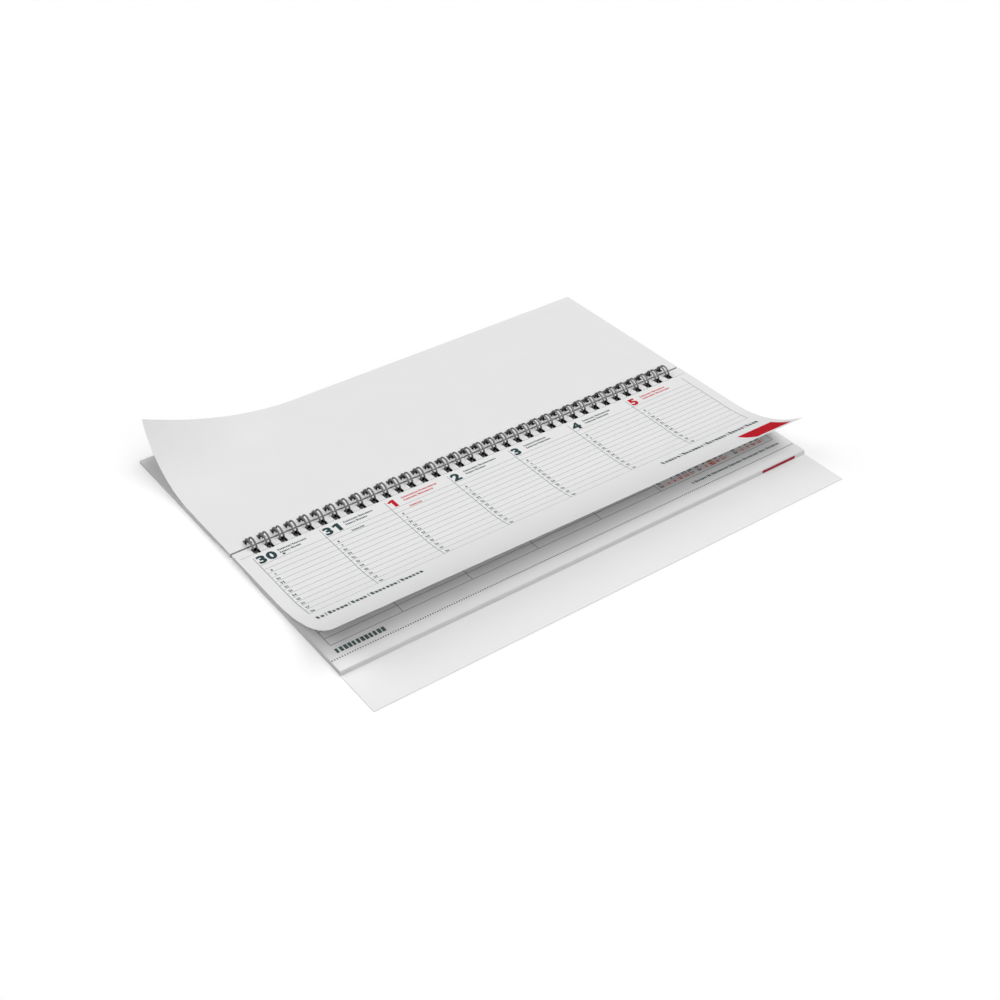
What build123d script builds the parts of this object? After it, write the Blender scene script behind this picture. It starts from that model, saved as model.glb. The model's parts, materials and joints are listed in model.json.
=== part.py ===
# Desk calendar for a week at a view: leaves punched along one edge and held by
# a twin-loop wire, lying open on a desk. The desk side in front of the wire has
# the back cover with its projecting strip, the leaves to come and the current
# week's sheet. The turned side behind it has the front cover, the leaves
# already turned and the last turned sheet. Millimetres, +X along the wire to
# the right, +Y to the back, +Z up, origin on the desk at the middle of the box.
import os
from math import asin, cos, degrees, hypot, radians, sin

from build123d import *

# Leaves
leaf_width = 321.6
leaf_depth = 113.0
inner_edge = 0.78
strip_depth = 30.8
cover_thickness = 0.45
sheet_thickness = 0.2
leaf_gap = 0.03
desk_stack_top = 4.36
turned_stack_top = 4.17
week_block_outer_top = 3.1
turned_block_outer_top = 2.4

# Leaves ride over the wire: level beside it, then falling to the desk
spine_lift = 1.35
level_end = 8.5
fall_run = 21.0

# Punched holes, three to the inch
hole_count = 36
hole_pitch = 25.4 / 3
hole_width = 4.0
hole_length = 4.5
hole_margin = 1.67

# Twin-loop wire
wire_size = 0.8
twin_spacing = 2.3
loop_radius = 4.5
loop_facets = 8
closing_room = 0.27
desk_room = 0.06
seam_gap = 0.4

# Current week's sheet: rolls up towards the front, a little later at the right
week_curl_radius = 88.8
week_curl_start_left = 47.8
week_curl_start_right = 52.3

# Last turned sheet: its back left corner lifts about a slanting bend line
corner_bend_angle = 58.4
corner_bend_run = 60.6
corner_curl_radius = 63.8

# Derived places
wire_y = strip_depth / 2
outer_edge = inner_edge + leaf_depth
hole_y = inner_edge + hole_margin + hole_length / 2
flat_start = level_end + fall_run
axis_z = (desk_stack_top + turned_stack_top + closing_room) / 2
drop = axis_z - desk_room - wire_size / 2
cut_height = leaf_depth
section = Plane(origin=(0, wire_y, 0), x_dir=(0, 1, 0), z_dir=(1, 0, 0))
plan = Plane(origin=(0, wire_y, 0))


def underside(side, height, outer):
    """Line of a leaf's underside in the section, from its inner edge outwards."""
    level = Line((side * inner_edge, height + spine_lift), (side * level_end, height + spine_lift))
    middle = (side * (level_end + fall_run / 2), height + spine_lift / 2)
    fall = TangentArc(level @ 1, middle, tangent=(side, 0))
    land = TangentArc(middle, (side * flat_start, height), tangent=fall % 1)
    Line(land @ 1, (side * outer, height))


def cover_section(side, outer):
    """Closed section of a cover, a card of even height that follows its underside."""
    with BuildSketch() as card:
        with BuildLine():
            underside(side, 0, outer)
            Line((side * outer, 0), (side * outer, cover_thickness))
            underside(side, cover_thickness, outer)
            Line((side * inner_edge, spine_lift + cover_thickness), (side * inner_edge, spine_lift))
        make_face()
    return card.sketch


def block_section(side, top, outer_top):
    """Closed section of a block of leaves, falling outwards and shaped to its cover below."""
    bottom = cover_thickness + leaf_gap
    with BuildSketch() as leaves:
        with BuildLine():
            underside(side, bottom, outer_edge)
            Polyline(
                (side * outer_edge, bottom),
                (side * outer_edge, outer_top),
                (side * inner_edge, top),
                (side * inner_edge, spine_lift + bottom),
            )
        make_face()
    return leaves.sketch


def hole_row(side):
    """One row of punched holes, drawn about the middle of the wire."""
    with BuildSketch() as row:
        with Locations((0, side * hole_y)):
            with GridLocations(hole_pitch, 0, hole_count, 1):
                Rectangle(hole_width, hole_length)
    return row.sketch


back_cover_section = cover_section(-1, outer_edge + strip_depth)
front_cover_section = cover_section(1, outer_edge)
week_block_top = desk_stack_top - sheet_thickness - leaf_gap
week_block_section = block_section(-1, week_block_top, week_block_outer_top)
turned_block_top = turned_stack_top - sheet_thickness - leaf_gap
turned_block_section = block_section(1, turned_block_top, turned_block_outer_top)
desk_holes = hole_row(-1)
turned_holes = hole_row(1)


# Back cover: card under the desk side, longer than the leaves by the front strip
with BuildPart() as back_cover:
    with BuildSketch(section):
        add(back_cover_section)
    extrude(amount=leaf_width / 2, both=True)
    with BuildSketch(plan):
        add(desk_holes)
    extrude(amount=cut_height, mode=Mode.SUBTRACT)

# Leaves to come, one block
with BuildPart() as week_block:
    with BuildSketch(section):
        add(week_block_section)
    extrude(amount=leaf_width / 2, both=True)
    with BuildSketch(plan):
        add(desk_holes)
    extrude(amount=cut_height, mode=Mode.SUBTRACT)

# Front cover: card under the turned side
with BuildPart() as front_cover:
    with BuildSketch(section):
        add(front_cover_section)
    extrude(amount=leaf_width / 2, both=True)
    with BuildSketch(plan):
        add(turned_holes)
    extrude(amount=cut_height, mode=Mode.SUBTRACT)

# Leaves already turned, one block
with BuildPart() as turned_block:
    with BuildSketch(section):
        add(turned_block_section)
    extrude(amount=leaf_width / 2, both=True)
    with BuildSketch(plan):
        add(turned_holes)
    extrude(amount=cut_height, mode=Mode.SUBTRACT)

# Current week's sheet: a strip rolled about a bend line that slants a little,
# trimmed to the sheet's outline seen from above, then punched
week_skew = (week_curl_start_right - week_curl_start_left) / leaf_width
week_curl_start = (week_curl_start_left + week_curl_start_right) / 2
week_bend = Plane(
    origin=(0, wire_y - inner_edge - week_curl_start, desk_stack_top - sheet_thickness),
    x_dir=(-week_skew, -1, 0),
    z_dir=(-1, week_skew, 0),
)
week_curl_run = leaf_depth - min(week_curl_start_left, week_curl_start_right)
week_reach_left = week_curl_radius * sin((leaf_depth - week_curl_start_left) / week_curl_radius)
week_reach_right = week_curl_radius * sin((leaf_depth - week_curl_start_right) / week_curl_radius)
with BuildPart() as week_sheet:
    with BuildSketch(week_bend):
        with BuildLine():
            level = Line((-leaf_depth, 0), (0, 0))
            JernArc(level @ 1, level % 1, week_curl_radius, degrees(week_curl_run / week_curl_radius))
            offset(amount=sheet_thickness, side=Side.LEFT)
        make_face()
    extrude(amount=leaf_width, both=True)
    with BuildSketch(plan):
        with BuildLine():
            Polyline(
                (-leaf_width / 2, -inner_edge),
                (leaf_width / 2, -inner_edge),
                (leaf_width / 2, -inner_edge - week_curl_start_right - week_reach_right),
                (-leaf_width / 2, -inner_edge - week_curl_start_left - week_reach_left),
                close=True,
            )
        make_face()
    extrude(amount=cut_height, mode=Mode.INTERSECT)
    with BuildSketch(plan):
        add(desk_holes)
    extrude(amount=cut_height, mode=Mode.SUBTRACT)


def corner_shift(run):
    """How far the curl draws a point in, for its flat distance past the bend line."""
    return run - corner_curl_radius * sin(run / corner_curl_radius)


def corner_outline(x, y):
    """Place, seen from above, of a flat sheet's point once its corner is curled."""
    away = (-cos(radians(corner_bend_angle)), sin(radians(corner_bend_angle)))
    run = (x + leaf_width / 2) * away[0] + (y - outer_edge) * away[1] + corner_bend_run
    shift = corner_shift(max(run, 0))
    return (x - away[0] * shift, y - away[1] * shift)


# Last turned sheet: a strip rolled about the slanting bend line, trimmed to the
# outline of the curled sheet seen from above, then punched
corner_away = Vector(-cos(radians(corner_bend_angle)), sin(radians(corner_bend_angle)), 0)
corner = Vector(-leaf_width / 2, wire_y + outer_edge, turned_stack_top - sheet_thickness)
corner_bend = Plane(
    origin=corner - corner_away * corner_bend_run,
    x_dir=corner_away,
    z_dir=corner_away.cross(Vector(0, 0, 1)),
)
sheet_diagonal = hypot(leaf_width, leaf_depth)
back_run = corner_bend_run / cos(radians(corner_bend_angle))
left_run = corner_bend_run / sin(radians(corner_bend_angle))
outline_steps = 6
outline_shares = [i / outline_steps for i in range(outline_steps + 1)]
corner_curl_angle = degrees(corner_bend_run / corner_curl_radius)
with BuildPart() as turned_sheet:
    with BuildSketch(corner_bend):
        with BuildLine():
            level = Line((-sheet_diagonal, 0), (0, 0))
            JernArc(level @ 1, level % 1, corner_curl_radius, corner_curl_angle)
            offset(amount=sheet_thickness, side=Side.LEFT)
        make_face()
    extrude(amount=sheet_diagonal, both=True)
    with BuildSketch(plan):
        with BuildLine():
            left = [corner_outline(-leaf_width / 2, outer_edge - left_run * s) for s in outline_shares]
            back = [corner_outline(-leaf_width / 2 + back_run * s, outer_edge) for s in outline_shares]
            Polyline(back[-1], (leaf_width / 2, outer_edge), (leaf_width / 2, inner_edge))
            Polyline((leaf_width / 2, inner_edge), (-leaf_width / 2, inner_edge), left[-1])
            Spline(*left)
            Spline(*back)
        make_face()
    extrude(amount=cut_height, mode=Mode.INTERSECT)
    with BuildSketch(plan):
        add(turned_holes)
    extrude(amount=cut_height, mode=Mode.SUBTRACT)


# Twin-loop wire, one continuous wire. Every loop is a pair of strands, faceted
# rings that stand in one pair of holes, flattened under the leaves where the
# ring is closed. There a hairpin joins the two strands of a loop, and on the
# other side of the seam a link runs on to the next loop.
facet_angle = 180 + 2 * degrees(asin(drop / loop_radius))
half_facet = radians(facet_angle / loop_facets / 2)
mean_corner = 2 * loop_radius / (1 + cos(half_facet))


def ring_corners(outwards):
    """Corners of a faceted ring, offset from the strand's middle, from front to back."""
    corner = mean_corner + outwards / cos(half_facet)
    start = degrees(asin((drop + outwards) / corner))
    sweep = 180 + 2 * start
    turns = [180 + start - sweep * i / loop_facets for i in range(loop_facets + 1)]
    return [(corner * cos(radians(turn)), axis_z + corner * sin(radians(turn))) for turn in turns]


first_strand = -(hole_count - 1) * hole_pitch / 2 - (twin_spacing + wire_size) / 2
strand_places = [first_strand + i * hole_pitch + s for i in range(hole_count) for s in (0, twin_spacing)]
with BuildPart() as wire_binding:
    with BuildSketch(*[section.offset(place) for place in strand_places]):
        with BuildLine():
            Polyline(*ring_corners(wire_size / 2), close=True)
        make_face()
        with BuildLine():
            Polyline(*ring_corners(-wire_size / 2), close=True)
        make_face(mode=Mode.SUBTRACT)
        with Locations((0, axis_z - drop)):
            Rectangle(seam_gap, 2 * wire_size, mode=Mode.SUBTRACT)
    extrude(amount=wire_size)
    with BuildSketch(plan.offset(axis_z - drop - wire_size / 2)):
        with Locations((0, -(seam_gap + wire_size) / 2)):
            with GridLocations(hole_pitch, 0, hole_count, 1):
                Rectangle(twin_spacing, wire_size)
        with Locations((0, (seam_gap + wire_size) / 2)):
            with GridLocations(hole_pitch, 0, hole_count - 1, 1):
                Rectangle(hole_pitch - twin_spacing, wire_size)
    extrude(amount=wire_size)

os.makedirs("parts", exist_ok=True)
pieces = {
    "back_cover": back_cover,
    "week_block": week_block,
    "week_sheet": week_sheet,
    "front_cover": front_cover,
    "turned_block": turned_block,
    "turned_sheet": turned_sheet,
    "wire_binding": wire_binding,
}
for name, piece in pieces.items():
    piece.part.label = name
    export_step(piece.part, f"parts/{name}.step")
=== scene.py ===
import json
from functools import lru_cache
from math import cos, pi, radians, sin, sqrt

import bpy
import numpy as np
from bpy.props import FloatProperty, FloatVectorProperty, IntProperty, PointerProperty
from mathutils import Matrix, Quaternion, Vector


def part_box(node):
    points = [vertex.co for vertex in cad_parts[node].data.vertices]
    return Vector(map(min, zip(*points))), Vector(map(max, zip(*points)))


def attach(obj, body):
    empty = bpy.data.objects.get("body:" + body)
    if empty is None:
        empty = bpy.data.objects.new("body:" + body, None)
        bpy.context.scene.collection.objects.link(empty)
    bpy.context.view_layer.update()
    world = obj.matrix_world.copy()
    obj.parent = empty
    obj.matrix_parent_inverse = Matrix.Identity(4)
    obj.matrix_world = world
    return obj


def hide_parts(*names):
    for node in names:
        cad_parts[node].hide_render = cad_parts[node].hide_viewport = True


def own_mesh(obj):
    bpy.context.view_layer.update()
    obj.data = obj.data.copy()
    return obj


bl_info = {
    "name": "Desk calendar",
    "version": (1, 0, 0),
    "blender": (4, 5, 0),
    "location": "3D View > Sidebar > Calendar",
    "description": "Dresses a wire-bound desk calendar: leaves, wire, print, finishes and studio",
    "category": "Object",
}

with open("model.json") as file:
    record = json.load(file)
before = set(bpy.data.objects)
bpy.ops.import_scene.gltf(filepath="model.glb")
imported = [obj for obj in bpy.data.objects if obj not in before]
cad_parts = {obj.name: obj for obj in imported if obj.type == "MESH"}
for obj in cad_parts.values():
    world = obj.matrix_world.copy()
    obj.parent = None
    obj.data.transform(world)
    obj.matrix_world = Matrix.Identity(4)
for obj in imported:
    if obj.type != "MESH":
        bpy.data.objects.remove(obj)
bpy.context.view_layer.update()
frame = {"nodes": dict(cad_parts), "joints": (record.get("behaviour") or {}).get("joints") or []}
MM = 0.001
INCH_IN_MM = 25.4
LOOPS_PER_INCH = 3
NEAR = 1e-7  # metres within which two places are one
PAPER_TOOTH = 2600.0  # fibres to the metre
TOOTH_DEPTH = 0.04 * MM
PAPER_SHEEN = 0.12
PAPER_TONE = 0.8  # what shows through the ink
INK_THINNING = 0.03  # share of the paper that shows through
CREASE = radians(35)  # sharper edges stay hard
SCATTER_LIMIT = 2  # a leaf's largest shift, by the usual scatter
RING_POINTS = 721  # steps in which a ring's length is measured
PICTURE_WIDTH = 36.0  # millimetres on the camera's sensor
WHITE = (1, 1, 1, 1)
DATES = ("30", "31", "1", "2", "3", "4", "5")
REST_DAYS = (2, 6)  # places among the dates
DESK = "desk_side"
TURNED = "turned_side"
FOLD = frame["joints"][0]
WIRE_Y, WIRE_Z = FOLD["pos_m"][1:]
BLOCK_LOW, BLOCK_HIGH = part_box("week_block")
TURNED_LOW, TURNED_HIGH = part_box("turned_block")
WEEK_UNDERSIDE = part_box("week_sheet")[0].z
TURNED_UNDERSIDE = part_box("turned_sheet")[0].z
LEFT, RIGHT = BLOCK_LOW.x, BLOCK_HIGH.x
WEEK_INNER, WEEK_OUTER = BLOCK_HIGH.y, BLOCK_LOW.y
TURNED_INNER, TURNED_OUTER = TURNED_LOW.y, TURNED_HIGH.y


# Settings that a user would change


def length(name, description, millimetres):
    """A length setting, given in millimetres and kept in metres."""
    return FloatProperty(
        name=name, description=description, default=millimetres * MM, unit="LENGTH", precision=5
    )


def angle(name, description, degrees):
    """An angle setting, given in degrees and kept in radians."""
    return FloatProperty(
        name=name, description=description, default=radians(degrees), subtype="ANGLE", precision=4
    )


def colour(name, description, red, green, blue):
    """A colour setting in linear light."""
    return FloatVectorProperty(
        name=name, description=description, default=(red, green, blue), subtype="COLOR", min=0, max=1
    )


def amount(name, description, value):
    """A plain number."""
    return FloatProperty(name=name, description=description, default=value, precision=4)


class LeafSettings(bpy.types.PropertyGroup):
    """Sizes of the punched leaves."""

    hole_count: IntProperty(name="Holes", description="Punched holes along the wire", default=36, min=2)
    hole_pitch: length("Hole pitch", "From one hole to the next", INCH_IN_MM / LOOPS_PER_INCH)
    hole_width: length("Hole width", "Width of a hole along the wire", 4.0)
    hole_length: length("Hole length", "Length of a hole across the wire", 4.5)
    hole_margin: length("Hole margin", "Paper between the holes and the inner edge", 1.67)
    week_hole_wear: length("Week hole wear", "How much longer the holes on the desk side are", 0.9)
    hole_rounding: length("Hole rounding", "Radius of a hole's corners", 0.6)
    sheet_thickness: length("Sheet thickness", "Thickness of a curled sheet", 0.2)
    leaf_thickness: length("Leaf thickness", "Thickness of one leaf in a block", 0.1)
    week_outer_top: length("Week outer top", "Height of the leaves to come at their front edge", 3.1)
    turned_outer_top: length("Turned outer top", "Height of the turned leaves at their back edge", 2.4)
    leaf_scatter: length("Leaf scatter", "How far leaves of a block stand out of line", 0.035)
    leaf_groove: length("Leaf groove", "Depth of the groove between two leaf edges", 0.09)
    edge_wear: length("Edge wear", "How far the upper leaves stand back at a block's outer edge", 0.55)
    row_step: length("Row step", "Spacing of a sheet's cross rows", 2.0)
    spine_lift: length("Spine lift", "How far the leaves ride up over the wire", 1.35)
    level_end: length("Level end", "Where the leaves begin to fall, from the wire", 8.5)
    fall_run: length("Fall run", "Length over which they fall", 21.0)


class CurlSettings(bpy.types.PropertyGroup):
    """How the two loose sheets roll up."""

    week_radius: length("Week radius", "Radius of the current week's curl", 88.8)
    week_start_left: length("Week start left", "Flat part of the week's sheet at its left edge", 47.8)
    week_start_right: length("Week start right", "Flat part of the week's sheet at its right edge", 52.3)
    corner_angle: angle("Corner angle", "Slant of the lifted corner's bend line", 58.2)
    corner_run: length("Corner run", "From the bend line out to the corner", 56.1)
    corner_radius: length("Corner radius", "Radius of the lifted corner's curl", 53.8)
    corner_reach: length("Corner reach", "How far the worn corner is drawn outwards at its tip", 2.8)
    corner_lift: length("Corner lift", "How far the worn corner is drawn upwards at its tip", 2.5)
    pressed: amount("Pressed", "Share of the curl that is left when the calendar is closed", 0.002)


class WireSettings(bpy.types.PropertyGroup):
    """Twin-loop wire."""

    diameter: length("Diameter", "Thickness of the round wire", 1.12)
    twin_spacing: length("Twin spacing", "Between the two strands of a loop", 2.3)
    loop_radius: length("Loop radius", "Radius of a ring to the wire's middle", 4.5)
    foot_height: length("Foot height", "Height of the flattened foot's middle over the desk", 0.585)
    foot_softness: length("Foot softness", "How softly the ring runs into its foot", 0.12)
    seam_offset: length("Seam offset", "From the seam to the hairpins and to the links", 0.6)
    link_bend: length("Link bend", "Radius where a strand turns into a link", 0.8)
    sides: IntProperty(name="Sides", description="Faces round the wire", default=10, min=6)
    strand_points: IntProperty(
        name="Strand points", description="Points along a strand", default=40, min=12
    )


class WeekPrintSettings(bpy.types.PropertyGroup):
    """Layout of the week's page, from its left edge and from the wire."""

    ink_rise: length("Ink rise", "How far print lies over its paper", 0.02)
    first_divider: length("First divider", "First day's divider, from the left edge", 8.0)
    column_width: length("Column width", "Width of the first day's column", 41.7)
    column_growth: amount("Column growth", "Each column's width over that of the one before", 1.0165)
    tilt: amount("Tilt", "Slope of the print across the page", 0.003)
    head: length("Head", "Upper end of the dividers", 9.3)
    first_line: length("First line", "First ruled line", 17.3)
    line_pitch: length("Line pitch", "From one ruled line to the next", 4.2)
    line_spread: length("Line spread", "Extra spacing over the curl, by the square of the count", 0.16)
    spread_after: IntProperty(
        name="Spread after", description="Lines before the spacing grows", default=8
    )
    line_count: IntProperty(name="Lines", description="Ruled lines in a column", default=13, min=4)
    divider_width: length("Divider width", "Width of a day's divider", 0.28)
    line_width: length("Line width", "Width of a ruled line", 0.2)
    date_height: length("Date height", "Height of the day's number", 7.1)
    date_stretch: amount("Date stretch", "Width of the day's number over the usual", 1.18)
    date_weight: amount("Date weight", "Boldness of the day's number, by its height", 0.05)
    hour_height: length("Hour height", "Height of an hour's number", 1.9)
    hour_weight: amount("Hour weight", "Boldness of an hour's number, by its height", 0.03)
    hour_right: length("Hour right", "Right end of the hours, from the divider", 4.0)
    first_hour: IntProperty(name="First hour", description="Hour on the third ruled line", default=8)
    perforation: length("Perforation", "Dotted line in front of the holes", 6.35)
    dot_start: length("Dot start", "First dot, from the left edge", 2.5)
    dot_end: length("Dot end", "Room after the last dot", 2.0)
    dot_pitch: length("Dot pitch", "From one dot to the next", 1.0)
    dot_radius: length("Dot radius", "Radius of a dot", 0.28)
    letter_height: length("Letter height", "Height of a small letter's block", 1.2)
    letter_pitch: length("Letter pitch", "From one small letter's block to the next", 1.0)
    name_left: length("Name left", "Day's name beside a number of one figure", 10.5)
    wide_name_left: length("Wide name left", "Day's name beside a number of two figures", 14.5)
    first_name: length("First name", "Lower edge of the first line of names, from the head", 2.4)
    second_name: length("Second name", "Lower edge of the second line of names, from the head", 5.0)
    day_note: length("Day note", "Lower edge of a day's note, from the first ruled line", 3.5)
    mark_right: length("Mark right", "Round mark in the first column, from its divider", 15.8)
    mark_down: length("Mark down", "Round mark, from the wire", 15.6)
    mark_radius: length("Mark radius", "Radius of the round mark", 0.85)
    foot_text: length("Foot text", "Lower edge of the page's heading bars", 79.9)
    heading_height: length("Heading height", "Height of a heading's letter block", 2.7)
    heading_pitch: length("Heading pitch", "From one block of the left heading to the next", 2.33)
    month_pitch: length("Month pitch", "From one block of the right heading to the next", 2.28)
    month_room: length("Month room", "Length of the right heading, to the last divider", 75.3)
    month_drop: length("Month drop", "How far the right heading lies under the left one", 0.3)
    tab_left: length("Tab left", "Left end of the month's tab", 289.4)
    tab_right: length("Tab right", "Right end of the month's tab", 316.8)
    tab_head: length("Tab head", "Upper edge of the month's tab", 88.2)
    tab_foot: length("Tab foot", "Lower edge of the month's tab", 107.0)


class NotesPrintSettings(bpy.types.PropertyGroup):
    """Layout of the notes page under the curl, from its left edge and from the wire."""

    frame_left: length("Frame left", "Left end of the notes' frame", 6.0)
    column_width: length("Column width", "Width of a notes column", 44.1)
    column_count: IntProperty(name="Columns", description="Notes columns", default=5, min=1)
    table_right: length("Table right", "Right end of the month table", 314.0)
    row_pitch: length("Row pitch", "Height of a notes row", 6.04)
    row_count: IntProperty(name="Rows", description="Notes rows", default=12, min=1)
    frame_foot: length("Frame foot", "Lower edge of the frame", 93.4)
    line_width: length("Line width", "Width of the frame's lines", 0.3)
    heading_foot: length("Heading foot", "Lower edge of the heading bars", 100.4)
    heading_height: length("Heading height", "Height of a heading's letter block", 3.6)
    heading_pitch: length("Heading pitch", "From one block of the heading to the next", 2.5)
    footnote_room: length("Footnote room", "Length of the small print, to the table's right end", 68.0)
    footnote_rise: length("Footnote rise", "How far the small print lies over the heading's foot", 1.4)
    footnote_height: length("Footnote height", "Height of the small print's blocks", 1.4)
    footnote_pitch: length("Footnote pitch", "From one block of the small print to the next", 1.1)
    tear_line: length("Tear line", "Dashed tear line", 103.7)
    tear_start: length("Tear start", "First dash, from the left edge", 0.5)
    dash_width: length("Dash width", "Width of a dash", 0.95)
    dash_share: amount("Dash share", "Length of a dash over its pitch", 0.42)
    dash_pitch: length("Dash pitch", "From one dash of the tear line to the next", 1.52)
    number_height: length("Number height", "Height of a number in the month table", 2.1)
    number_pitch: length("Number pitch", "From one number of the month table to the next", 4.5)
    first_month: length("First month", "First month's days, from the table's left end", 3.2)
    second_month: length("Second month", "Second month's days, from the table's left end", 32.0)
    third_month: length("Third month", "Third month's days, from the table's left end", 60.5)
    work_row: length("Work row", "Row of work days, from the frame's foot", 5.1)
    rest_row: length("Rest row", "Row of rest days, from the frame's foot", 2.0)
    edge_left: length("Edge left", "Left end of the mark on the leaf edges", 287.3)
    edge_right: length("Edge right", "Right end of the mark on the leaf edges", 313.4)
    edge_low: amount("Edge low", "Lower end of that mark, by the height of the leaves", 0.2)
    edge_high: amount("Edge high", "Upper end of that mark, by the height of the leaves", 0.92)


class FinishSettings(bpy.types.PropertyGroup):
    """Colours of paper, card, ink and steel."""

    paper: colour("Paper", "White writing paper", 0.795, 0.795, 0.795)
    paper_shade: colour("Paper shade", "Paper between its fibres", 0.765, 0.765, 0.765)
    leaf_edge: colour("Leaf edge", "Cut edges of the leaves", 0.77, 0.77, 0.77)
    leaf_edge_shade: colour("Leaf edge shade", "Between the cut edges", 0.68, 0.68, 0.68)
    # painted shade: the leaf edges along the wire are darker for the shade in the gap between the blocks
    spine_edge: colour("Spine edge", "Punched edges of the leaves along the wire", 0.50, 0.50, 0.50)
    spine_edge_shade: colour("Spine edge shade", "Between those edges", 0.42, 0.42, 0.42)
    card: colour("Card", "White cover card", 0.82, 0.82, 0.82)
    card_shade: colour("Card shade", "Card between its fibres", 0.80, 0.80, 0.80)
    # painted shade: the walls of the desk-side holes are near black for the shade inside them
    hole_shade: colour("Hole shade", "Inside of the holes in the leaves to come", 0.012, 0.012, 0.013)
    # painted shade: the walls of the turned holes are mid-grey, painted as partly lit
    lit_hole_shade: colour("Lit hole shade", "Inside of the holes in the turned leaves", 0.22, 0.22, 0.22)
    ink: colour("Ink", "Dark green-grey of the numbers", 0.022, 0.055, 0.058)
    pale_ink: colour("Pale ink", "Stand-in bars for lines of words", 0.075, 0.11, 0.11)
    line_ink: colour("Line ink", "Ruled lines", 0.14, 0.17, 0.17)
    divider_ink: colour("Divider ink", "Dividers between the days", 0.08, 0.115, 0.115)
    red: colour("Red", "Rest days and tab", 0.52, 0.008, 0.018)
    edge_red: colour("Edge red", "Mark on the leaf edges", 0.38, 0.02, 0.045)
    pale_red: colour("Pale red", "Stand-in bars of a rest day", 0.58, 0.05, 0.065)
    field: colour("Field", "Tinted field in the month table", 0.72, 0.45, 0.36)
    pale_field: colour("Pale field", "Tint behind the month table's rest days", 0.77, 0.66, 0.66)
    steel: colour("Steel", "Grey drawn steel", 0.155, 0.155, 0.158)


class StageSettings(bpy.types.PropertyGroup):
    """Camera, light and floor."""

    camera_place: FloatVectorProperty(
        name="Camera place", description="Where the camera stands",
        default=(-0.42730, -0.60359, 0.53197), subtype="TRANSLATION", precision=5,
    )
    camera_aim: FloatVectorProperty(
        name="Camera aim", description="Point on the desk at the middle of the picture",
        default=(-0.01086, -0.02700, 0.0), subtype="TRANSLATION", precision=5,
    )
    camera_roll: angle("Camera roll", "Turn of the camera about its own view", 0.44)
    camera_lens: amount("Camera lens", "Focal length for a 36 mm wide picture, in millimetres", 55.9)
    key: amount("Key", "Share of the main light; the four shares make 1 on the floor", 0.372)
    key_tilt: angle("Key tilt", "How far the main light leans from the upright", 25.0)
    key_turn: angle("Key turn", "Where it comes from, from the front towards the right", 45.0)
    side: amount("Side", "Share of the light from the right", 0.212)
    side_tilt: angle("Side tilt", "How far the side light leans from the upright", 25.0)
    side_turn: angle("Side turn", "Where it comes from, from the front towards the right", 90.0)
    front: amount("Front", "Share of the low front light", 0.164)
    front_tilt: angle("Front tilt", "How far the front light leans from the upright", 50.0)
    front_turn: angle("Front turn", "Where it comes from, from the front towards the right", 0.0)
    back: amount("Back", "Share of the low light from behind", 0.252)
    back_tilt: angle("Back tilt", "How far the back light leans from the upright", 50.0)
    back_turn: angle("Back turn", "Where it comes from, from the front towards the right", 225.0)
    softness: angle("Softness", "Apparent width of each light", 42.0)
    floor_glow: amount("Floor glow", "Share of the floor's shadow that is filled where it is seen", 0.45)
    floor_tint: colour("Floor tint", "How the floor throws light back on the calendar", 0.8, 0.8, 0.8)
    floor_size: length("Floor size", "Width of the floor", 12000.0)
    floor_drop: length("Floor drop", "Room between the calendar and the floor", 0.15)


class CalendarSettings(bpy.types.PropertyGroup):
    """All settings of the calendar."""

    leaves: PointerProperty(type=LeafSettings)
    curls: PointerProperty(type=CurlSettings)
    wire: PointerProperty(type=WireSettings)
    week: PointerProperty(type=WeekPrintSettings)
    notes: PointerProperty(type=NotesPrintSettings)
    finish: PointerProperty(type=FinishSettings)
    stage: PointerProperty(type=StageSettings)


# Shader maths


class Value:
    """A node's output on which sums can be written: each sum adds one Math node."""

    def __init__(self, finish, socket):
        self.finish = finish
        self.socket = socket

    def maths(self, operation, first, second):
        return self.finish.node("ShaderNodeMath", {"operation": operation}, {0: first, 1: second})

    def __add__(self, other):
        return self.maths("ADD", self, other)

    def __radd__(self, other):
        return self.maths("ADD", other, self)

    def __sub__(self, other):
        return self.maths("SUBTRACT", self, other)

    def __rsub__(self, other):
        return self.maths("SUBTRACT", other, self)

    def __mul__(self, other):
        return self.maths("MULTIPLY", self, other)

    def __rmul__(self, other):
        return self.maths("MULTIPLY", other, self)


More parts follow.
